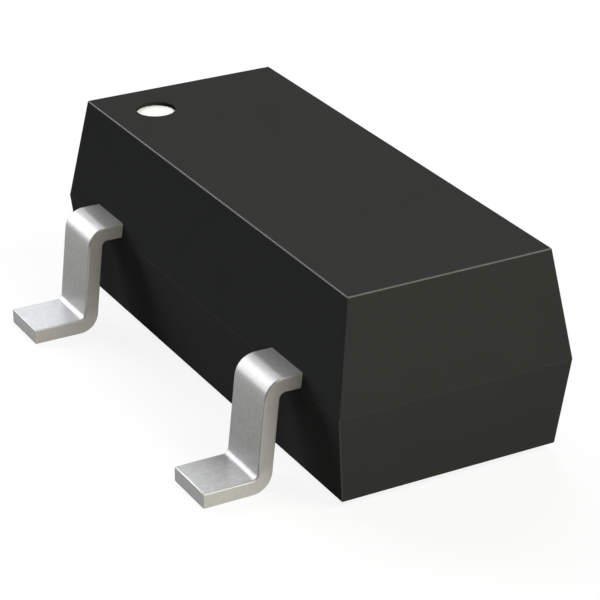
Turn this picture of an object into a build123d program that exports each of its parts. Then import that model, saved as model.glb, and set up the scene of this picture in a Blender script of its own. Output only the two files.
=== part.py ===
from build123d import *
import math
import os

# Small-signal transistor in the three-lead SOT-23 surface-mount package.
# Sizes in millimetres, angles in degrees.
# X runs along the body, the two-lead side faces -Y, and the feet rest on the plane z = 0.

# Moulded body
body_length = 2.90
body_width = 1.252
upper_height = 0.55
lower_height = 0.454
upper_draft = 9.0
lower_draft = 5.8
standoff = 0.037
corner_radius = 0.012
rim_radius = 0.008

# Pin one mark: a white ink disc on the floor of a round recess
dot_diameter = 0.205
dot_depth = 0.022
ink_thickness = 0.004
dot_from_end = 0.290
dot_from_side = 0.260

# Formed leads
lead_pitch = 1.90
lead_width = 0.295
lead_thickness = 0.077
lead_span = 2.251
foot_length = 0.2755
shin_lean = 5.8
bend_radius = 0.030
lead_edge_bevel = 0.007

# Leadframe inside the body
flag_length = 1.00
flag_width = 0.64
flag_shift = 0.05
post_length = 0.50
post_width = 0.38
post_shift = -0.11
frame_gap = 0.13
frame_corner_radius = 0.05
lock_radius = 0.045
lock_setback = 0.10

# Chip and its attachment
die_side = 0.34
die_height = 0.11
die_shift = 0.03
attach_margin = 0.025
attach_thickness = 0.012
attach_bevel = 0.009

# Bond pads
pad_side = 0.085
pad_height = 0.003
pad_offset_x = 0.085
pad_offset_y = 0.075

# Bond wires
wire_diameter = 0.025
ball_diameter = 0.066
ball_height = 0.018
ball_bevel = 0.010
loop_height = 0.105
loop_radius = 0.045
knee_reach = 0.30
stitch_length = 0.085
stitch_root_width = 0.032
stitch_end_width = 0.052
stitch_thickness = 0.008
stitch_from_edge = 0.13

# Levels and places that follow from the sizes above
parting_z = standoff + lower_height
top_z = parting_z + upper_height
frame_top = parting_z + lead_thickness
attach_top = frame_top + attach_thickness
die_top = attach_top + die_height
pad_top = die_top + pad_height
upper_inset = upper_height * math.tan(math.radians(upper_draft))
lower_inset = lower_height * math.tan(math.radians(lower_draft))
lead_x = lead_pitch / 2
post_edge_x = flag_length / 2 + frame_gap
stitch_x = post_edge_x + stitch_from_edge


def body_section(z, inset):
    """Rounded outline of the body at one level, drawn in from the parting line by the draft."""
    return Pos(0, 0, z) * RectangleRounded(body_length - 2 * inset, body_width - 2 * inset, corner_radius)


def body_form():
    """Outside of the moulding: two drafted halves that meet in a ridge at the parting line."""
    parting_line = body_section(parting_z, 0)
    upper = loft([parting_line, body_section(top_z, upper_inset)], ruled=True)
    lower = loft([body_section(standoff, lower_inset), parting_line], ruled=True)
    form = upper + lower
    rims = form.edges().group_by(Axis.Z)
    return fillet(rims[0] + rims[-1], rim_radius)


def dot_place(z):
    """Centre of the pin one mark at height z, in the corner of the top face over pin one."""
    x = body_length / 2 - upper_inset - dot_from_end
    y = body_width / 2 - upper_inset - dot_from_side
    return Pos(-x, -y, z)


def dot_recess():
    floor_z = top_z - dot_depth
    return dot_place(floor_z) * extrude(Circle(dot_diameter / 2), dot_depth)


def pin_one_dot():
    floor_z = top_z - dot_depth
    return dot_place(floor_z) * extrude(Circle(dot_diameter / 2), ink_thickness)


def formed_strip(inner_end):
    """Bent strip of one lead, from inner_end inside the body out towards -Y and down to its foot."""
    lean = math.tan(math.radians(shin_lean))
    half = lead_thickness / 2
    arm_z = parting_z + half
    tip_y = lead_span / 2
    shin_front_y = tip_y - foot_length
    shin_centre_y = shin_front_y - half / math.cos(math.radians(shin_lean))
    foot_corner_y = shin_centre_y + half * lean
    arm_corner_y = shin_centre_y - (arm_z - lead_thickness) * lean
    path = FilletPolyline(
        (0, -inner_end, arm_z),
        (0, -arm_corner_y, arm_z),
        (0, -foot_corner_y, half),
        (0, -tip_y, half),
        radius=bend_radius + half,
    )
    start = Plane(origin=path @ 0, x_dir=(1, 0, 0), z_dir=(0, -1, 0))
    section = Rectangle(lead_width, lead_thickness)
    section = chamfer(section.vertices(), lead_edge_bevel)
    strip = sweep(start * section, path=path)
    tip = strip.faces().sort_by(Axis.Y)[0]
    return chamfer(tip.edges().filter_by(Axis.X), lead_edge_bevel)


def lock_notches():
    """Half-round notches in both sides of a neck, which the moulding fills to hold the lead."""
    wall_y = body_width / 2 - lead_thickness * math.tan(math.radians(upper_draft))
    notch_y = wall_y - lock_setback
    notch = extrude(Circle(lock_radius), lead_thickness)
    left = Pos(-lead_width / 2, -notch_y, parting_z) * notch
    right = Pos(lead_width / 2, -notch_y, parting_z) * notch
    return [left, right]


def wire_lead():
    """Emitter lead: formed strip with a bond post that reaches in towards the flag."""
    post_centre_x = post_edge_x + post_length / 2 - lead_x
    outline = Pos(post_centre_x, post_shift) * RectangleRounded(post_length, post_width, frame_corner_radius)
    post = Pos(0, 0, parting_z) * extrude(outline, lead_thickness)
    lead = formed_strip(-post_shift) + post - lock_notches()
    return Pos(lead_x, 0, 0) * lead


def flag_lead():
    """Collector lead: formed strip on the other side, with the flag that carries the chip."""
    outline = Pos(0, -flag_shift) * RectangleRounded(flag_length, flag_width, frame_corner_radius)
    flag = Pos(0, 0, parting_z) * extrude(outline, lead_thickness)
    lead = formed_strip(flag_shift) + flag - lock_notches()
    return Rot(0, 0, 180) * lead


def die_attach():
    side = die_side + 2 * attach_margin
    bead = extrude(Rectangle(side, side), attach_thickness)
    bead = chamfer(bead.edges().group_by(Axis.Z)[-1], attach_bevel)
    return Pos(0, die_shift, frame_top) * bead


def silicon_die():
    return Pos(0, die_shift, attach_top) * extrude(Rectangle(die_side, die_side), die_height)


def pad_place(side):
    """Corner of the chip's top where one pad lies: side is -1 for the base, 1 for the emitter."""
    return (side * pad_offset_x, die_shift + side * pad_offset_y)


def bond_pad(side):
    x, y = pad_place(side)
    return Pos(x, y, die_top) * extrude(Rectangle(pad_side, pad_side), pad_height)


def bond_wire(side):
    """Gold wire from a ball on the pad, over a flat-topped loop, down to its stitch on the post."""
    pad = Vector(*pad_place(side), pad_top)
    stitch = Vector(side * stitch_x, post_shift, frame_top)
    run = Vector(stitch.X - pad.X, stitch.Y - pad.Y, 0)
    heading = run.normalized()
    crest = pad + Vector(0, 0, loop_height)
    knee = crest + heading * knee_reach
    tail = stitch - Vector(0, 0, wire_diameter / 2)
    path = FilletPolyline(pad, crest, knee, tail, radius=loop_radius)
    tube = sweep(Plane(pad) * Circle(wire_diameter / 2), path=path)
    ball = extrude(Circle(ball_diameter / 2), ball_height)
    ball = Pos(*pad) * chamfer(ball.edges().group_by(Axis.Z)[-1], ball_bevel)
    turn = math.degrees(math.atan2(heading.Y, heading.X))
    fishtail = Polygon(
        (-stitch_length / 2, -stitch_root_width / 2),
        (stitch_length / 2, -stitch_end_width / 2),
        (stitch_length / 2, stitch_end_width / 2),
        (-stitch_length / 2, stitch_root_width / 2),
    )
    wedge = Pos(*stitch) * Rot(0, 0, turn) * extrude(fishtail, stitch_thickness)
    under_post = Box(lead_width, lead_width, lead_thickness, align=(Align.CENTER, Align.CENTER, Align.MAX))
    return tube + ball + wedge - Pos(*stitch) * under_post


emitter_lead = wire_lead()
insides = {
    "base_lead": mirror(emitter_lead, about=Plane.YZ),
    "emitter_lead": emitter_lead,
    "collector_lead": flag_lead(),
    "die_attach": die_attach(),
    "silicon_die": silicon_die(),
    "base_bond_pad": bond_pad(-1),
    "emitter_bond_pad": bond_pad(1),
    "base_bond_wire": bond_wire(-1),
    "emitter_bond_wire": bond_wire(1),
}
molded_body = body_form() - dot_recess() - list(insides.values())
pieces = {"molded_body": molded_body, "pin_one_dot": pin_one_dot(), **insides}

os.makedirs("parts", exist_ok=True)
for name, piece in pieces.items():
    export_step(piece, f"parts/{name}.step")
    print(f"{name:20s} {len(piece.solids())} solid, {piece.volume:.6f} mm3, valid {piece.is_valid}")
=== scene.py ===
import math

import bmesh
import bpy
from mathutils import Matrix, Vector


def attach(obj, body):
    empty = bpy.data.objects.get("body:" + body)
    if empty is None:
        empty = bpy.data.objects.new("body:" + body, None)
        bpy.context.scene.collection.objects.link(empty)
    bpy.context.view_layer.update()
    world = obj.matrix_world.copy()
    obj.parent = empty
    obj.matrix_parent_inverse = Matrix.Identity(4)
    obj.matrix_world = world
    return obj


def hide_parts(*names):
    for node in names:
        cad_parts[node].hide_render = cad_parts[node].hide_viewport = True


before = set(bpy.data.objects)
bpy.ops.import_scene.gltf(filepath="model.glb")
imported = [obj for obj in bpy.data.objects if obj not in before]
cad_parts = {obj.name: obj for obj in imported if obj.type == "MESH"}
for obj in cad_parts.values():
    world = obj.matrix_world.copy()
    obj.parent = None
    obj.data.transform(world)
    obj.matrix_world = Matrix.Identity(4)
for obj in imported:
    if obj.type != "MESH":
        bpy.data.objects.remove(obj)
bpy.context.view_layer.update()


# Formed leads: each is punched from nickel-iron strip as one flat blank, with its foot, shin
# and arm, and the bond post or chip flag that lies inside the body. It is bent twice over a
# die after moulding, and what stays outside the body is plated with matte tin.
MM_PER_M = 1000
STRIP_THICKNESS = 0.077
STRIP_WIDTH = 0.298
UPPER_EDGE_ROUND = 0.008
LOWER_EDGE_ROUND = 0.0065
EDGE_STEPS = 3
TIP_EDGE_SHARE = 0.8
PARTING_HEIGHT = 0.491
LEAD_PITCH = 1.90
BEND_RADIUS = 0.030
BEND_SWELL = 0.0015
BEND_ROWS = 24
SHIN_LEAN = math.radians(5.8)
TIP_REACH = 1.1255
FOOT_LENGTH = 0.2755
DAM_STUB = 0.004
DAM_SHARE_AT_BODY = 0.5
DAM_BAND = 0.03
NOTCH_RADIUS = 0.045
NOTCH_REACH = 0.5138
NOTCH_STEPS = 14
POST_CORNER = 0.05
POST_CORNER_STEPS = 6
BODY_WIDTH = 1.252
FACE_SHARE = 0.98
TIP_SLACK = 1e-6
CUT_SLACK = 1e-5


def arc_points(centre_x, centre_y, radius, start_deg, end_deg, steps):
    """Points along an arc, both ends included."""
    points = []
    for step in range(steps + 1):
        angle = math.radians(start_deg + (end_deg - start_deg) * step / steps)
        points.append((centre_x + radius * math.cos(angle), centre_y + radius * math.sin(angle)))
    return points


def lead_path():
    """Runs and bends of the strip's middle plane, outward from the body's middle, in mm."""
    half = STRIP_THICKNESS / 2
    radius = BEND_RADIUS + half
    turn = math.radians(90) - SHIN_LEAN
    setback = radius * math.tan(turn / 2)
    arm_height = PARTING_HEIGHT + half
    shin_middle = TIP_REACH - FOOT_LENGTH - half / math.cos(SHIN_LEAN)
    foot_corner = shin_middle + half * math.tan(SHIN_LEAN)
    arm_corner = shin_middle - (arm_height - STRIP_THICKNESS) * math.tan(SHIN_LEAN)
    shin_run = math.hypot(foot_corner - arm_corner, arm_height - half) - 2 * setback
    arm_end = arm_corner - setback
    upper_bend_end = arm_end + radius * turn
    shin_end = upper_bend_end + shin_run
    lower_bend_end = shin_end + radius * turn
    blank_end = lower_bend_end + TIP_REACH - foot_corner - setback
    return {
        "radius": radius,
        "turn": turn,
        "arm_height": arm_height,
        "arm_end": arm_end,
        "upper_bend_end": upper_bend_end,
        "shin_run": shin_run,
        "shin_end": shin_end,
        "lower_bend_end": lower_bend_end,
        "blank_end": blank_end,
    }


def bend_point(path, along, lift):
    """Where a point of the flat blank goes when the lead is formed: its reach and its height."""
    half = STRIP_THICKNESS / 2
    radius = path["radius"]
    turn = path["turn"]
    if along <= path["arm_end"]:
        return along, path["arm_height"] + lift
    upper_centre = Vector((path["arm_end"], path["arm_height"] - radius))
    if along <= path["upper_bend_end"]:
        angle = (along - path["arm_end"]) / radius
        swell = BEND_SWELL * max(lift, 0) / half * math.sin(math.pi * angle / turn) ** 2
        out = upper_centre + (radius + lift + swell) * Vector((math.sin(angle), math.cos(angle)))
        return out.x, out.y
    face = Vector((math.sin(turn), math.cos(turn)))
    down = Vector((math.cos(turn), -math.sin(turn)))
    shin_top = upper_centre + radius * face
    if along <= path["shin_end"]:
        out = shin_top + (along - path["upper_bend_end"]) * down + lift * face
        return out.x, out.y
    lower_centre = shin_top + path["shin_run"] * down + radius * face
    if along <= path["lower_bend_end"]:
        angle = turn - (along - path["shin_end"]) / radius
        swell = BEND_SWELL * max(-lift, 0) / half * math.sin(math.pi * angle / turn) ** 2
        out = lower_centre - (radius - lift + swell) * Vector((math.sin(angle), math.cos(angle)))
        return out.x, out.y
    return lower_centre.x + along - path["lower_bend_end"], lower_centre.y - radius + lift


def trimmed_stub(path, along):
    """How far a lead stands out sideways where the bar between the leads was trimmed off it."""
    rise = (along - BODY_WIDTH / 2) / (path["upper_bend_end"] - BODY_WIDTH / 2)
    fall = (path["lower_bend_end"] - along) / (path["lower_bend_end"] - path["shin_end"])
    return DAM_STUB * min(max(DAM_SHARE_AT_BODY + rise, 0), max(fall, 0), 1)


def blank_outline(left, right, back, front):
    """Outline of a flat blank: a neck with lock notches, and the wide part inside the body."""
    half = STRIP_WIDTH / 2
    end = lead_path()["blank_end"]
    corner, steps = POST_CORNER, POST_CORNER_STEPS
    outline = [(half, end), (half, NOTCH_REACH + NOTCH_RADIUS)]
    outline += arc_points(half, NOTCH_REACH, NOTCH_RADIUS, 90, 270, NOTCH_STEPS)[1:]
    outline += [(half, front)]
    outline += arc_points(right - corner, front - corner, corner, 90, 0, steps)
    outline += arc_points(right - corner, back + corner, corner, 0, -90, steps)
    outline += arc_points(left + corner, back + corner, corner, 270, 180, steps)
    outline += arc_points(left + corner, front - corner, corner, 180, 90, steps)
    outline += [(-half, front)]
    outline += arc_points(-half, NOTCH_REACH, NOTCH_RADIUS, -90, 90, NOTCH_STEPS)[:-1]
    outline += [(-half, NOTCH_REACH + NOTCH_RADIUS), (-half, end)]
    return outline


def round_edges(blank, side, rounding, tip):
    """Rounds the punched edges above (side 1), or those below (side -1) but for the tip's."""
    near_face = FACE_SHARE * STRIP_THICKNESS / 2
    rim = [e for e in blank.edges if all(side * v.co.z > near_face for v in e.verts)]
    if side < 0:
        rim = [e for e in rim if min(v.co.y for v in e.verts) < tip - TIP_SLACK]
    bmesh.ops.bevel(
        blank, geom=rim, offset=rounding, segments=EDGE_STEPS, profile=0.5, affect="EDGES"
    )


def formed_lead(outline):
    """Punches the blank, rounds its edges, and bends it. Outward is -Y, in mm."""
    path = lead_path()
    tip = path["blank_end"]
    blank = bmesh.new()
    top = [blank.verts.new((x, along, STRIP_THICKNESS / 2)) for x, along in outline]
    bottom = [blank.verts.new((x, along, -STRIP_THICKNESS / 2)) for x, along in outline]
    blank.faces.new(top)
    blank.faces.new(bottom[::-1])
    for here in range(len(outline)):
        after = (here + 1) % len(outline)
        blank.faces.new((top[here], bottom[here], bottom[after], top[after]))
    bmesh.ops.recalc_face_normals(blank, faces=blank.faces)
    round_edges(blank, 1, UPPER_EDGE_ROUND, tip)
    round_edges(blank, -1, LOWER_EDGE_ROUND, tip)
    for start, stop in (("arm_end", "upper_bend_end"), ("shin_end", "lower_bend_end")):
        for row in range(BEND_ROWS + 1):
            along = path[start] + (path[stop] - path[start]) * row / BEND_ROWS
            bmesh.ops.bisect_plane(
                blank,
                geom=blank.verts[:] + blank.edges[:] + blank.faces[:],
                dist=CUT_SLACK,
                plane_co=(0, along, 0),
                plane_no=(0, 1, 0),
            )
    for vert in blank.verts:
        along = vert.co.y
        if vert.co.z > 0 and along > tip - UPPER_EDGE_ROUND:
            along = tip - TIP_EDGE_SHARE * (tip - along)
        reach, height = bend_point(path, along, vert.co.z)
        stub = trimmed_stub(path, along) if vert.co.x < DAM_BAND - STRIP_WIDTH / 2 else 0
        vert.co = (vert.co.x - stub, -reach, height)
    bmesh.ops.recalc_face_normals(blank, faces=blank.faces)
    return blank


def finished_piece(name, solid, cutters=(), crease_deg=40):
    """Turns a solid drawn in mm into a smooth-shaded piece in metres, less what cuts it."""
    drawn = bpy.data.meshes.new(name + "_drawn")
    solid.to_mesh(drawn)
    solid.free()
    blank = bpy.data.objects.new(name + "_drawn", drawn)
    bpy.context.scene.collection.objects.link(blank)
    for cutter in cutters:
        cut = blank.modifiers.new("cut", "BOOLEAN")
        cut.operation = "DIFFERENCE"
        cut.solver = "EXACT"
        cut.object = cutter
    evaluated = blank.evaluated_get(bpy.context.evaluated_depsgraph_get())
    cut_mesh = bpy.data.meshes.new_from_object(evaluated)
    blank.modifiers.clear()
    blank.data = cut_mesh
    cut_mesh.polygons.foreach_set("use_smooth", [True] * len(cut_mesh.polygons))
    cut_mesh.set_sharp_from_angle(angle=math.radians(crease_deg))
    weighted = blank.modifiers.new("even_normals", "WEIGHTED_NORMAL")
    weighted.keep_sharp = True
    evaluated = blank.evaluated_get(bpy.context.evaluated_depsgraph_get())
    mesh = bpy.data.meshes.new_from_object(evaluated)
    mesh.transform(Matrix.Scale(1 / MM_PER_M, 4))
    mesh.name = name
    piece = bpy.data.objects.new(name, mesh)
    bpy.context.scene.collection.objects.link(piece)
    bpy.data.objects.remove(blank)
    return piece


def new_material(name):
    """A material with only its shader: returns the material, its nodes, links and shader."""
    material = bpy.data.materials.new(name)
    material.use_nodes = True
    nodes = material.node_tree.nodes
    nodes.clear()
    shader = nodes.new("ShaderNodeBsdfPrincipled")
    output = nodes.new("ShaderNodeOutputMaterial")
    material.node_tree.links.new(shader.outputs["BSDF"], output.inputs["Surface"])
    return material, nodes, material.node_tree.links, shader


def grain(nodes, links, per_mm, detail=2, roughness=0.5, stretch=(1, 1, 1)):
    """Noise fixed to the piece, with about so many grains to the millimetre."""
    place = nodes.new("ShaderNodeTexCoord")
    mapping = nodes.new("ShaderNodeMapping")
    mapping.inputs["Scale"].default_value = [s * per_mm * MM_PER_M for s in stretch]
    noise = nodes.new("ShaderNodeTexNoise")
    noise.inputs["Scale"].default_value = 1.0
    noise.inputs["Detail"].default_value = detail
    noise.inputs["Roughness"].default_value = roughness
    links.new(place.outputs["Object"], mapping.inputs["Vector"])
    links.new(mapping.outputs["Vector"], noise.inputs["Vector"])
    return noise.outputs["Fac"]


def spread(nodes, links, value, low, high, from_low=0.3, from_high=0.7):
    """Maps a value, or the middle of a noise, onto a range of numbers."""
    ramp = nodes.new("ShaderNodeMapRange")
    ramp.inputs["From Min"].default_value = from_low
    ramp.inputs["From Max"].default_value = from_high
    ramp.inputs["To Min"].default_value = low
    ramp.inputs["To Max"].default_value = high
    links.new(value, ramp.inputs["Value"])
    return ramp.outputs["Result"]


def blended(nodes, links, share, first, second):
    """A colour between two, mixed by a share."""
    mix = nodes.new("ShaderNodeMix")
    mix.data_type = "RGBA"
    mix.inputs["A"].default_value = (*first, 1)
    mix.inputs["B"].default_value = (*second, 1)
    links.new(share, mix.inputs["Factor"])
    return mix.outputs["Result"]


def bumped(nodes, links, height, micrometres):
    """A normal from a height of so many micrometres."""
    bump = nodes.new("ShaderNodeBump")
    bump.inputs["Strength"].default_value = 1.0
    bump.inputs["Distance"].default_value = micrometres * 1e-6
    links.new(height, bump.inputs["Height"])
    return bump.outputs["Normal"]


def heights(nodes, links):
    """Each point's height above the board, in metres."""
    place = nodes.new("ShaderNodeTexCoord")
    axes = nodes.new("ShaderNodeSeparateXYZ")
    links.new(place.outputs["Object"], axes.inputs["Vector"])
    return axes.outputs["Z"]


def toned_by_height(nodes, links, tones, green, flecks):
    """A grey for each height in mm, tinted by its share of blue and one of green, times flecks."""
    low, high = tones[0][0], tones[-1][0]
    along = spread(nodes, links, heights(nodes, links), 0, 1, low / MM_PER_M, high / MM_PER_M)
    ramp = nodes.new("ShaderNodeValToRGB")
    stops = ramp.color_ramp.elements
    for height, grey, blue in tones[1:-1]:
        stops.new((height - low) / (high - low))
    for stop, (height, grey, blue) in zip(stops, tones):
        stop.color = (grey, grey * green, grey * blue, 1)
    links.new(along, ramp.inputs["Fac"])
    mix = nodes.new("ShaderNodeMix")
    mix.data_type = "RGBA"
    mix.blend_type = "MULTIPLY"
    mix.inputs["Factor"].default_value = 1.0
    links.new(ramp.outputs["Color"], mix.inputs["A"])
    links.new(flecks, mix.inputs["B"])
    return mix.outputs["Result"]


def tin_finish(name, tones, green, mottle, lines, roughness):
    """Matte tin, or the bare alloy of the cut tip: mottled grey, with faint rolling lines, and a
    grey set by height, which on the tin paints light and shade.
    """
    material, nodes, links, shader = new_material(name)
    crystals = grain(nodes, links, per_mm=44, detail=3, roughness=0.85)
    rolled = grain(nodes, links, per_mm=45, stretch=(1, 0.12, 0.12))
    flecks = nodes.new("ShaderNodeMath")
    flecks.operation = "ADD"
    links.new(spread(nodes, links, crystals, 1 - mottle, 1 + mottle), flecks.inputs[0])
    links.new(spread(nodes, links, rolled, -lines, lines), flecks.inputs[1])
    tin = toned_by_height(nodes, links, tones, green, flecks.outputs[0])
    links.new(tin, shader.inputs["Base Color"])
    links.new(spread(nodes, links, crystals, *roughness), shader.inputs["Roughness"])
    links.new(bumped(nodes, links, crystals, micrometres=0.3), shader.inputs["Normal"])
    shader.inputs["Metallic"].default_value = 0.3
    return material


# Height in mm, grey, and share of blue. The tables for the rolled, sheared and edge faces paint
# light and shade by height: the foot palest, the shin over it darker, and the arm lighter again.
ROLLED_TONES = (
    (0.0, 0.442, 1.0), (0.08, 0.442, 0.995), (0.13, 0.300, 0.99), (0.20, 0.258, 0.945),
    (0.30, 0.269, 0.91), (0.42, 0.289, 0.91), (0.52, 0.37, 0.96), (0.57, 0.37, 0.97),
)
SHEARED_TONES = (
    (0.0, 0.49, 0.93), (0.08, 0.475, 0.93), (0.14, 0.378, 0.935), (0.57, 0.368, 0.955),
)
# Painted shade: the row of each edge rounding next to a face is darkened into a dark line along
# the shin and the bends.
EDGE_SHADE_TONES = (
    (0.0, 0.42, 0.98), (0.074, 0.40, 0.98), (0.082, 0.22, 0.98), (0.15, 0.23, 0.98),
    (0.46, 0.22, 0.98), (0.50, 0.10, 0.98), (0.55, 0.10, 0.98), (0.565, 0.30, 0.98),
    (0.57, 0.36, 0.98),
)
# Painted highlight on the outer rows of each edge rounding and on the tip's top edge, brightest at
# the foot and arm, with painted shade darker at the lower inner corner and the upper bend.
EDGE_HIGHLIGHT_TONES = (
    (0.0, 0.50, 0.99), (0.074, 0.49, 0.99), (0.082, 0.26, 0.99), (0.12, 0.30, 0.99),
    (0.16, 0.40, 0.99), (0.46, 0.38, 0.99), (0.50, 0.20, 0.99), (0.55, 0.22, 0.99),
    (0.565, 0.48, 0.99), (0.57, 0.55, 0.99),
)
CUT_TONES = ((0.0, 0.345, 0.965), (0.08, 0.345, 0.965))
ROLLED, SHEARED, EDGE_SHADE, EDGE_HIGHLIGHT, CUT = range(5)
LEAD_FINISHES = (
    tin_finish(
        "rolled_tin", ROLLED_TONES, green=1.0, mottle=0.14, lines=0.012, roughness=(0.34, 0.40)
    ),
    tin_finish(
        "sheared_tin", SHEARED_TONES, green=0.98, mottle=0.05, lines=0, roughness=(0.40, 0.46)
    ),
    tin_finish(
        "edge_shade_tin", EDGE_SHADE_TONES, green=1.0, mottle=0.05, lines=0, roughness=(0.40, 0.46)
    ),
    tin_finish(
        "edge_highlight_tin", EDGE_HIGHLIGHT_TONES, green=0.995, mottle=0.05, lines=0, roughness=(0.32, 0.38)
    ),
    tin_finish(
        "cut_alloy", CUT_TONES, green=0.995, mottle=0.10, lines=0, roughness=(0.42, 0.50)
    ),
)
SHEARED_FACING = 0.98
EDGE_HIGHLIGHT_FACING = 0.45
EDGE_SHADE_FACING = 0.1
CUT_FACING = 0.95


def lead_finish(face):
    """Which finish a face of a lead has, by how far it faces sideways and where it is."""
    sideways = abs(face.normal.x)
    if sideways > SHEARED_FACING:
        return SHEARED
    # The outer rows of the edge rounding and the tip's top edge get the painted highlight.
    if sideways > EDGE_HIGHLIGHT_FACING:
        return EDGE_HIGHLIGHT
    if abs(face.center.y) * MM_PER_M > TIP_REACH - UPPER_EDGE_ROUND:
        return CUT if abs(face.normal.y) > CUT_FACING else EDGE_HIGHLIGHT
    # The row of an edge rounding next to a face gets the painted dark line.
    return EDGE_SHADE if sideways > EDGE_SHADE_FACING else ROLLED


def plate_lead(lead):
    """Gives each face of a lead its finish."""
    for finish in LEAD_FINISHES:
        lead.data.materials.append(finish)
    for face in lead.data.polygons:
        face.material_index = lead_finish(face)


WIRE_LEAD_OUTLINE = blank_outline(left=-0.32, right=0.18, back=-0.08, front=0.30)
FLAG_LEAD_OUTLINE = blank_outline(left=-0.50, right=0.50, back=-0.37, front=0.27)

emitter = formed_lead(WIRE_LEAD_OUTLINE)
bmesh.ops.translate(emitter, verts=emitter.verts, vec=(LEAD_PITCH / 2, 0, 0))
emitter_lead = finished_piece("emitter_lead_formed", emitter)
plate_lead(emitter_lead)
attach(emitter_lead, "root")
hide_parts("emitter_lead")

base = formed_lead([(-x, along) for x, along in WIRE_LEAD_OUTLINE])
bmesh.ops.translate(base, verts=base.verts, vec=(-LEAD_PITCH / 2, 0, 0))
base_lead = finished_piece("base_lead_formed", base)
plate_lead(base_lead)
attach(base_lead, "root")
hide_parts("base_lead")

collector = formed_lead(FLAG_LEAD_OUTLINE)
half_turn = Matrix.Rotation(math.pi, 3, "Z")
bmesh.ops.rotate(collector, verts=collector.verts, cent=(0, 0, 0), matrix=half_turn)
collector_lead = finished_piece("collector_lead_formed", collector)
plate_lead(collector_lead)
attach(collector_lead, "root")
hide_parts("collector_lead")


# Chip attachment: a bead of silver-filled epoxy, dispensed on the flag and cured under the
# chip. It stays as the model has it, and looks like silver flakes packed in a cloudy resin.
def silver_epoxy():
    """Flakes of silver in a grey resin."""
    material, nodes, links, shader = new_material("silver_epoxy")
    flakes = grain(nodes, links, per_mm=160, detail=3)
    tone = spread(nodes, links, flakes, 0, 1, 0.4, 0.6)
    resin = blended(nodes, links, tone, (0.42, 0.41, 0.38), (0.68, 0.67, 0.63))
    links.new(resin, shader.inputs["Base Color"])
    links.new(spread(nodes, links, flakes, 0.65, 0.35), shader.inputs["Roughness"])
    links.new(bumped(nodes, links, flakes, micrometres=1.2), shader.inputs["Normal"])
    shader.inputs["Metallic"].default_value = 0.35
    return material


def dress(node, material):
    """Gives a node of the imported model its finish."""
    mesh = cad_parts[node].data
    mesh.materials.clear()
    mesh.materials.append(material)


dress("die_attach", silver_epoxy())


# Chip: a square of silicon, sawn from its wafer and polished, with a glassy passivation over
# the transistor on top. The tint of that layer drifts a little across the chip.
def passivated_silicon():
    """Dark blue-grey glass over silicon, with fine saw marks down the sides."""
    material, nodes, links, shader = new_material("passivated_silicon")
    drift = grain(nodes, links, per_mm=5)
    tone = spread(nodes, links, drift, 0, 1)
    glass = blended(nodes, links, tone, (0.13, 0.14, 0.19), (0.19, 0.19, 0.23))
    links.new(glass, shader.inputs["Base Color"])
    saw_marks = grain(nodes, links, per_mm=60, stretch=(1, 1, 0.1))
    links.new(spread(nodes, links, saw_marks, 0.12, 0.24), shader.inputs["Roughness"])
    links.new(bumped(nodes, links, saw_marks, micrometres=0.15), shader.inputs["Normal"])
    shader.inputs["Metallic"].default_value = 0.6
    return material


dress("silicon_die", passivated_silicon())


# Bond pads: two squares of aluminium, evaporated on the chip as a film and etched to shape.
# Their surface is bright, with a fine grain.
def pad_film():
    """Bright evaporated aluminium."""
    material, nodes, links, shader = new_material("pad_film")
    fine = grain(nodes, links, per_mm=220)
    tone = spread(nodes, links, fine, 0, 1)
    film = blended(nodes, links, tone, (0.78, 0.78, 0.80), (0.86, 0.86, 0.88))
    links.new(film, shader.inputs["Base Color"])
    links.new(spread(nodes, links, fine, 0.22, 0.32), shader.inputs["Roughness"])
    links.new(bumped(nodes, links, fine, micrometres=0.12), shader.inputs["Normal"])
    shader.inputs["Metallic"].default_value = 1.0
    return material


pad_metal = pad_film()
dress("base_bond_pad", pad_metal)
dress("emitter_bond_pad", pad_metal)


# Bond wires: gold wire 25 micrometres thick, drawn through a die. A ball is welded to each
# pad, and the other end is pressed flat on the post as a stitch. Drawing leaves faint lines.
def drawn_gold():
    """Bright gold with lines along the wire."""
    material, nodes, links, shader = new_material("drawn_gold")
    lines = grain(nodes, links, per_mm=90, stretch=(0.3, 1, 1))
    tone = spread(nodes, links, lines, 0, 1)
    gold = blended(nodes, links, tone, (0.86, 0.61, 0.21), (0.94, 0.70, 0.27))
    links.new(gold, shader.inputs["Base Color"])
    links.new(spread(nodes, links, lines, 0.18, 0.28), shader.inputs["Roughness"])
    links.new(bumped(nodes, links, lines, micrometres=0.15), shader.inputs["Normal"])
    shader.inputs["Metallic"].default_value = 1.0
    return material


wire_gold = drawn_gold()
dress("base_bond_wire", wire_gold)
dress("emitter_bond_wire", wire_gold)


# Moulded body: black epoxy with silica filler, transfer-moulded round the leads, chip and
# wires. Both halves have draft and meet in a ridge at the parting line, where the leads come
# out. A pin in the upper mould leaves the shallow round recess of the pin one mark.
BODY_LENGTH = 2.90
BODY_TOP = 1.041
BODY_UNDERSIDE = 0.037
UPPER_DRAFT = math.radians(9.0)
LOWER_DRAFT = math.radians(5.8)
CORNER_ROUND = 0.006
CORNER_STEPS = 9
RIM_ROUND = 0.0065
RIM_STEPS = 8
RIM_CORNER_SHARE = 0.5
BODY_CREASE_DEG = 12
MARK_RADIUS = 0.1016
MARK_DEPTH = 0.0215
MARK_X = -1.0814
MARK_Y = -0.2785
MARK_STEPS = 72
MOUTH_ROUND = 0.0025
MOUTH_OUT, MOUTH_DOWN = 0.0007, 0.0008
PIN_ABOVE = 0.05
# Direction across the mark along which the recess wall's painted shade deepens.
PIT_SHADE_AXIS = (0.49, 0.87)


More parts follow.
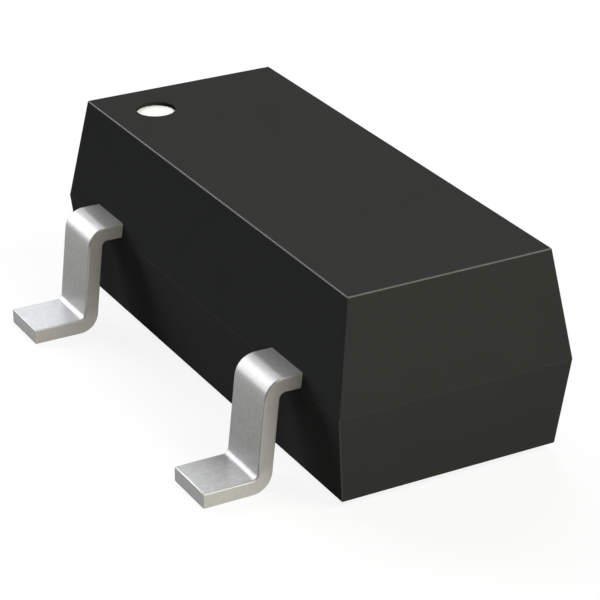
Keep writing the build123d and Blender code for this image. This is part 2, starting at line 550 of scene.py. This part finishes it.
def body_ring(solid, inset, corner, height):
    """Corners of the body's rounded outline at one height, drawn in by inset."""
    ring = []
    for side_x, side_y, turn in ((1, 1, 0), (-1, 1, 90), (-1, -1, 180), (1, -1, 270)):
        x = side_x * (BODY_LENGTH / 2 - inset - corner)
        y = side_y * (BODY_WIDTH / 2 - inset - corner)
        for px, py in arc_points(x, y, corner, turn, turn + 90, CORNER_STEPS):
            ring.append(solid.verts.new((px, py, height)))
    return ring


def rim_rings(solid, height, draft, up):
    """Rings round the rounded rim at the top (up 1) or the underside (up -1)."""
    wall_height = abs(height - PARTING_HEIGHT)
    inset = wall_height * math.tan(draft)
    centre_in = inset + RIM_ROUND * (1 / math.cos(draft) - math.tan(draft))
    rings = []
    for step in range(RIM_STEPS + 1):
        angle = draft + (math.radians(90) - draft) * step / RIM_STEPS
        drawn_in = centre_in - RIM_ROUND * math.cos(angle)
        level = height - up * RIM_ROUND * (1 - math.sin(angle))
        corner = CORNER_ROUND - RIM_ROUND * (1 - math.cos(angle - draft)) * RIM_CORNER_SHARE
        rings.append(body_ring(solid, drawn_in, corner, level))
    return rings


def skinned(solid, rings):
    """Closes a solid over its rings of corners, from the lowest to the highest."""
    for below, above in zip(rings, rings[1:]):
        for here in range(len(below)):
            after = (here + 1) % len(below)
            solid.faces.new((below[here], below[after], above[after], above[here]))
    solid.faces.new(rings[0][::-1])
    solid.faces.new(rings[-1])
    return solid


def moulding_form():
    """The outside of the body: two drafted halves on the outline of the parting line."""
    solid = bmesh.new()
    lower = rim_rings(solid, BODY_UNDERSIDE, LOWER_DRAFT, -1)[::-1]
    parting = [body_ring(solid, 0, CORNER_ROUND, PARTING_HEIGHT)]
    upper = rim_rings(solid, BODY_TOP, UPPER_DRAFT, 1)
    return skinned(solid, lower + parting + upper)


def turned_at_mark(profile):
    """A round solid on the axis of the mark, from the radius and the height of each ring."""
    solid = bmesh.new()
    rings = []
    for radius, level in profile:
        points = arc_points(MARK_X, MARK_Y, radius, 0, 360, MARK_STEPS)[:-1]
        rings.append([solid.verts.new((x, y, level)) for x, y in points])
    return skinned(solid, rings)


def mark_cutter():
    """The mould's pin, as what it takes away, with a little round where it meets the top."""
    tool = turned_at_mark((
        (MARK_RADIUS, BODY_TOP - MARK_DEPTH),
        (MARK_RADIUS, BODY_TOP - MOUTH_ROUND),
        (MARK_RADIUS + MOUTH_OUT, BODY_TOP - MOUTH_DOWN),
        (MARK_RADIUS + MOUTH_ROUND, BODY_TOP),
        (MARK_RADIUS + MOUTH_ROUND, BODY_TOP + PIN_ABOVE),
    ))
    mesh = bpy.data.meshes.new("mould_pin")
    tool.to_mesh(mesh)
    tool.free()
    pin = bpy.data.objects.new("mould_pin", mesh)
    bpy.context.scene.collection.objects.link(pin)
    return pin


def in_millimetres(piece):
    """A copy of a piece at the drawing's scale, to cut its place out of the body."""
    copy = bpy.data.objects.new(piece.name + "_place", piece.data.copy())
    copy.data.transform(Matrix.Scale(MM_PER_M, 4))
    bpy.context.scene.collection.objects.link(copy)
    return copy


# A thin lighter line along the parting ridge: a painted highlight.
PARTING_HIGHLIGHT = (0.0455, 0.0460, 0.0438)
PARTING_HIGHLIGHT_FROM, PARTING_HIGHLIGHT_TO = 2e-6, 5e-6


def mould_compound(name, dark, light):
    """Matte charcoal epoxy: faint clouds, the mould's fine grain, and a painted highlight along
    the parting line.
    """
    material, nodes, links, shader = new_material(name)
    clouds = grain(nodes, links, per_mm=3, detail=4)
    fine = grain(nodes, links, per_mm=60, detail=3)
    epoxy = blended(nodes, links, spread(nodes, links, clouds, 0, 1), dark, light)
    off_line = nodes.new("ShaderNodeMath")
    off_line.operation = "SUBTRACT"
    off_line.inputs[1].default_value = PARTING_HEIGHT / MM_PER_M
    links.new(heights(nodes, links), off_line.inputs[0])
    distance = nodes.new("ShaderNodeMath")
    distance.operation = "ABSOLUTE"
    links.new(off_line.outputs[0], distance.inputs[0])
    parting_glint = spread(nodes, links, distance.outputs[0], 1, 0, PARTING_HIGHLIGHT_FROM, PARTING_HIGHLIGHT_TO)
    mix = nodes.new("ShaderNodeMix")
    mix.data_type = "RGBA"
    mix.inputs["B"].default_value = (*PARTING_HIGHLIGHT, 1)
    links.new(parting_glint, mix.inputs["Factor"])
    links.new(epoxy, mix.inputs["A"])
    links.new(mix.outputs["Result"], shader.inputs["Base Color"])
    links.new(spread(nodes, links, fine, 0.55, 0.65), shader.inputs["Roughness"])
    links.new(bumped(nodes, links, fine, micrometres=0.2), shader.inputs["Normal"])
    shader.inputs["Specular IOR Level"].default_value = 0.0
    return material


# Greys of the painted highlight on the body's edges.
CORNER_HIGHLIGHT_GREY = 0.060
RIM_HIGHLIGHT_BLUE = 0.96


def painted_edge_highlight(name, rim_grey):
    """The body's outer edges: the same epoxy, a bit glossy, painted a lighter grey as a highlight,
    faint low down and strongest at the top rim.
    """
    material, nodes, links, shader = new_material(name)
    scuffs = grain(nodes, links, per_mm=40, detail=3)
    highlight_greys = ((0.0, CORNER_HIGHLIGHT_GREY), (0.70, CORNER_HIGHLIGHT_GREY), (1.0, rim_grey), (1.05, rim_grey))
    tones = [(height, grey, RIM_HIGHLIGHT_BLUE) for height, grey in highlight_greys]
    flecks = spread(nodes, links, scuffs, 0.92, 1.08)
    epoxy = toned_by_height(nodes, links, tones, 1.0, flecks)
    links.new(epoxy, shader.inputs["Base Color"])
    links.new(spread(nodes, links, scuffs, 0.42, 0.50), shader.inputs["Roughness"])
    links.new(bumped(nodes, links, scuffs, micrometres=0.1), shader.inputs["Normal"])
    shader.inputs["Specular IOR Level"].default_value = 0.1
    return material


def shaded_pit_wall():
    """The wall of the recess: painted shade, dark all over and darkest towards one side, with
    faint streaks.
    """
    material, nodes, links, shader = new_material("shaded_pit_wall")
    streaks = grain(nodes, links, per_mm=60, stretch=(1, 1, 0.2))
    place = nodes.new("ShaderNodeTexCoord")
    across = nodes.new("ShaderNodeVectorMath")
    across.operation = "DOT_PRODUCT"
    across.inputs[1].default_value = (*PIT_SHADE_AXIS, 0)
    links.new(place.outputs["Object"], across.inputs[0])
    middle = PIT_SHADE_AXIS[0] * MARK_X + PIT_SHADE_AXIS[1] * MARK_Y
    ends = ((middle - MARK_RADIUS) / MM_PER_M, (middle + MARK_RADIUS) / MM_PER_M)
    tone = spread(nodes, links, across.outputs["Value"], 1, 0, *ends)
    epoxy = blended(nodes, links, tone, (0.009, 0.009, 0.009), (0.029, 0.029, 0.028))
    links.new(epoxy, shader.inputs["Base Color"])
    links.new(spread(nodes, links, streaks, 0.4, 0.5), shader.inputs["Roughness"])
    links.new(bumped(nodes, links, streaks, micrometres=0.1), shader.inputs["Normal"])
    shader.inputs["Specular IOR Level"].default_value = 0.0
    return material


# Each wall has its own grey, as painted light and shade: the upper long walls darker, the lower
# end walls a little darker, the upper end walls a little lighter. The edges and the recess wall
# have their own painted highlight and shade.
COMPOUND, SIDE_EDGE, END_EDGE, PIT, UPPER_LONG, LOWER_END, LOWER_LONG, UPPER_END = range(8)
BODY_FINISHES = (
    mould_compound("mould_compound", (0.0381, 0.0383, 0.0363), (0.0400, 0.0402, 0.0382)),
    painted_edge_highlight("side_edge_highlight", 0.110),
    painted_edge_highlight("end_edge_highlight", 0.139),
    shaded_pit_wall(),
    mould_compound("upper_long_wall", (0.0298, 0.0322, 0.0303), (0.0313, 0.0338, 0.0318)),
    mould_compound("lower_end_wall", (0.0362, 0.0369, 0.0348), (0.0380, 0.0388, 0.0365)),
    mould_compound("lower_long_wall", (0.0378, 0.0368, 0.0372), (0.0397, 0.0387, 0.0391)),
    mould_compound("upper_end_wall", (0.0393, 0.0397, 0.0376), (0.0412, 0.0417, 0.0396)),
)
WALL_FACING = 0.9
CORNER_FACING = 0.1
UNDERSIDE_FACING = 0.3
PIT_WALL_FACING = 0.5
TOP_FACING = 0.995
PIT_REACH = 1.2
PIT_SLACK = 0.001


def body_finish(face):
    """Which finish a face of the moulding has, by where it is and how it faces."""
    centre = face.center * MM_PER_M
    along_x, along_y, upward = abs(face.normal.x), abs(face.normal.y), abs(face.normal.z)
    above_parting = centre.z > PARTING_HEIGHT
    from_mark = math.hypot(centre.x - MARK_X, centre.y - MARK_Y)
    if from_mark < PIT_REACH * MARK_RADIUS and centre.z > BODY_TOP - MARK_DEPTH - PIT_SLACK:
        return PIT if upward < PIT_WALL_FACING else COMPOUND
    # The top rim gets the painted highlight, lighter on the end edges than on the side edges.
    if centre.z > BODY_TOP - RIM_ROUND and face.normal.z < TOP_FACING:
        return END_EDGE if along_x > along_y else SIDE_EDGE
    # The corners below the parting line get a faint painted highlight.
    if not above_parting and min(along_x, along_y) > CORNER_FACING and upward < UNDERSIDE_FACING:
        return SIDE_EDGE
    # Each wall gets the grey of its painted light and shade.
    if along_y > WALL_FACING:
        return UPPER_LONG if above_parting else LOWER_LONG
    if along_x > WALL_FACING:
        return UPPER_END if above_parting else LOWER_END
    return COMPOUND


places = [in_millimetres(lead) for lead in (emitter_lead, base_lead, collector_lead)]
places.append(mark_cutter())
moulding = finished_piece("moulding", moulding_form(), places, crease_deg=BODY_CREASE_DEG)
for place in places:
    bpy.data.objects.remove(place)
moulding.data.materials.clear()
for finish in BODY_FINISHES:
    moulding.data.materials.append(finish)
for face in moulding.data.polygons:
    face.material_index = body_finish(face)
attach(moulding, "root")
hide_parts("molded_body")


# Pin one mark: a drop of flat white ink, printed on the floor of the recess. It spreads to
# the wall and dries a few micrometres thick, with a thin rounded edge.
INK_THICKNESS = 0.004
INK_EDGE = 0.0022
INK_FLOOR = BODY_TOP - MARK_DEPTH
FOOT_GAP, BULGE_GAP, SHOULDER_GAP = 0.0008, 0.0003, 0.0006


def printed_ink():
    """Flat white ink that covers almost evenly."""
    material, nodes, links, shader = new_material("printed_ink")
    cover = grain(nodes, links, per_mm=40, detail=3)
    tone = spread(nodes, links, cover, 0, 1)
    white = blended(nodes, links, tone, (0.945, 0.945, 0.915), (0.97, 0.97, 0.945))
    links.new(white, shader.inputs["Base Color"])
    links.new(spread(nodes, links, cover, 0.55, 0.7), shader.inputs["Roughness"])
    links.new(bumped(nodes, links, cover, micrometres=0.4), shader.inputs["Normal"])
    return material


ink = turned_at_mark((
    (MARK_RADIUS - FOOT_GAP, INK_FLOOR),
    (MARK_RADIUS - BULGE_GAP, INK_FLOOR + 0.3 * INK_EDGE),
    (MARK_RADIUS - SHOULDER_GAP, INK_FLOOR + 0.8 * INK_EDGE),
    (MARK_RADIUS - INK_EDGE, INK_FLOOR + 0.85 * INK_THICKNESS),
    (0.85 * MARK_RADIUS, INK_FLOOR + 0.97 * INK_THICKNESS),
    (0.5 * MARK_RADIUS, INK_FLOOR + INK_THICKNESS),
))
pin_one_mark = finished_piece("pin_one_mark", ink)
pin_one_mark.data.materials.append(printed_ink())
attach(pin_one_mark, "root")
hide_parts("pin_one_dot")


# Studio floor: a sheet of pale card, larger than the view. Seen by the camera and in the
# metal it is white, and it keeps the object's soft shadow.
FLOOR_HALF = 0.12
CARD_GREY = 0.16
CARD_GLOW = 0.87


def white_rays(nodes, links):
    """One for camera, glossy and transmission rays, and nought for the rest."""
    light = nodes.new("ShaderNodeLightPath")
    first = nodes.new("ShaderNodeMath")
    first.operation = "MAXIMUM"
    links.new(light.outputs["Is Camera Ray"], first.inputs[0])
    links.new(light.outputs["Is Glossy Ray"], first.inputs[1])
    second = nodes.new("ShaderNodeMath")
    second.operation = "MAXIMUM"
    links.new(first.outputs[0], second.inputs[0])
    links.new(light.outputs["Is Transmission Ray"], second.inputs[1])
    return second.outputs[0]


def pale_card():
    """Matte card with a glow that only camera, glossy and transmission rays see."""
    material, nodes, links, shader = new_material("pale_card")
    shader.inputs["Base Color"].default_value = (CARD_GREY, CARD_GREY, CARD_GREY, 1)
    shader.inputs["Roughness"].default_value = 1.0
    shader.inputs["Specular IOR Level"].default_value = 0.0
    shader.inputs["Emission Color"].default_value = (1, 1, 1, 1)
    glow = nodes.new("ShaderNodeMath")
    glow.operation = "MULTIPLY"
    glow.inputs[1].default_value = CARD_GLOW
    links.new(white_rays(nodes, links), glow.inputs[0])
    links.new(glow.outputs[0], shader.inputs["Emission Strength"])
    return material


floor_mesh = bpy.data.meshes.new("floor")
corners = [(-FLOOR_HALF, -FLOOR_HALF, 0), (FLOOR_HALF, -FLOOR_HALF, 0)]
corners += [(FLOOR_HALF, FLOOR_HALF, 0), (-FLOOR_HALF, FLOOR_HALF, 0)]
floor_mesh.from_pydata(corners, [], [(0, 1, 2, 3)])
floor = bpy.data.objects.new("floor", floor_mesh)
bpy.context.scene.collection.objects.link(floor)
floor_mesh.materials.append(pale_card())


# Studio light: soft boxes a metre from the object, each given by its bearing, its height above
# the floor and its spread, in degrees, and by its brightness. The backdrop is white to the
# camera and in the metal, and almost dark for the rest.
SOFT_BOXES = (
    ("right_front", 0, 10, 28, 18, (4.2, 4.0, 3.2)),
    ("right_back", 30, 10, 20, 18, (6.2, 6.9, 6.2)),
    ("right_high", 30, 48, 24, 20, (10.1, 9.7, 8.8)),
    ("top_back", 150, 48, 24, 20, (5.9, 6.2, 6.2)),
    ("back_left", 158, 26, 22, 20, (1.4, 1.5, 1.7)),
    ("left_high", 190, 42, 28, 12, (3.0, 3.2, 3.7)),
    ("left", 200, 30, 32, 12, (8.1, 8.1, 8.2)),
    ("left_middle", 200, 19, 32, 12, (5.9, 6.0, 6.2)),
    ("left_low", 209, 8, 32, 12, (6.9, 6.9, 7.3)),
    ("front_right", 325, 14, 34, 24, (2.3, 2.35, 2.15)),
)
BACKDROP_GLOW = 0.03


def place_soft_box(name, bearing, rise, across, upright, radiance):
    """Sets up a soft box that faces the object and has the given brightness in each colour."""
    lamp = bpy.data.lights.new(name, "AREA")
    lamp.shape = "RECTANGLE"
    lamp.size = 2 * math.tan(math.radians(across / 2))
    lamp.size_y = 2 * math.tan(math.radians(upright / 2))
    brightest = max(radiance)
    lamp.energy = brightest * math.pi * lamp.size * lamp.size_y
    lamp.color = [level / brightest for level in radiance]
    flat = math.cos(math.radians(rise))
    towards = Vector((
        flat * math.cos(math.radians(bearing)),
        flat * math.sin(math.radians(bearing)),
        math.sin(math.radians(rise)),
    ))
    soft_box = bpy.data.objects.new(name, lamp)
    soft_box.location = towards
    soft_box.rotation_mode = "QUATERNION"
    soft_box.rotation_quaternion = towards.to_track_quat("Z", "Y")
    bpy.context.scene.collection.objects.link(soft_box)


for soft_box in SOFT_BOXES:
    place_soft_box(*soft_box)

world = bpy.data.worlds.new("studio")
bpy.context.scene.world = world
world.use_nodes = True
sky_nodes = world.node_tree.nodes
sky_links = world.node_tree.links
sky_nodes.clear()
sky = sky_nodes.new("ShaderNodeBackground")
sky.inputs["Color"].default_value = (1, 1, 1, 1)
sky_out = sky_nodes.new("ShaderNodeOutputWorld")
sky_links.new(sky.outputs["Background"], sky_out.inputs["Surface"])
sky_strength = sky_nodes.new("ShaderNodeMapRange")
sky_strength.inputs["To Min"].default_value = BACKDROP_GLOW
sky_strength.inputs["To Max"].default_value = 1.0
sky_links.new(white_rays(sky_nodes, sky_links), sky_strength.inputs["Value"])
sky_links.new(sky_strength.outputs["Result"], sky.inputs["Strength"])


# Camera: it stands to the front right of the object and a little above it, with a long lens,
# as the picture was taken.
CAMERA_PLACE = (0.00972830, -0.00542274, 0.00568184)
CAMERA_AZIMUTH = math.radians(60.9527)
CAMERA_ELEVATION = math.radians(25.6657)
CAMERA_ROLL = math.radians(0.0902)
LENS_MM = 147.4545
SENSOR_MM = 36.0
CLIP_START = 0.0005
CLIP_END = 1.0
camera_data = bpy.data.cameras.new("camera")
camera_data.lens = LENS_MM
camera_data.sensor_width = SENSOR_MM
camera_data.clip_start = CLIP_START
camera_data.clip_end = CLIP_END
camera = bpy.data.objects.new("camera", camera_data)
camera.location = CAMERA_PLACE
camera.rotation_mode = "XYZ"
camera.rotation_euler = (math.radians(90) - CAMERA_ELEVATION, 0, CAMERA_AZIMUTH)
camera.rotation_euler = (
    camera.rotation_euler.to_matrix() @ Matrix.Rotation(CAMERA_ROLL, 3, "Z")
).to_euler()
bpy.context.scene.collection.objects.link(camera)
bpy.context.scene.camera = camera

bpy.context.scene.view_settings.view_transform = "Standard"
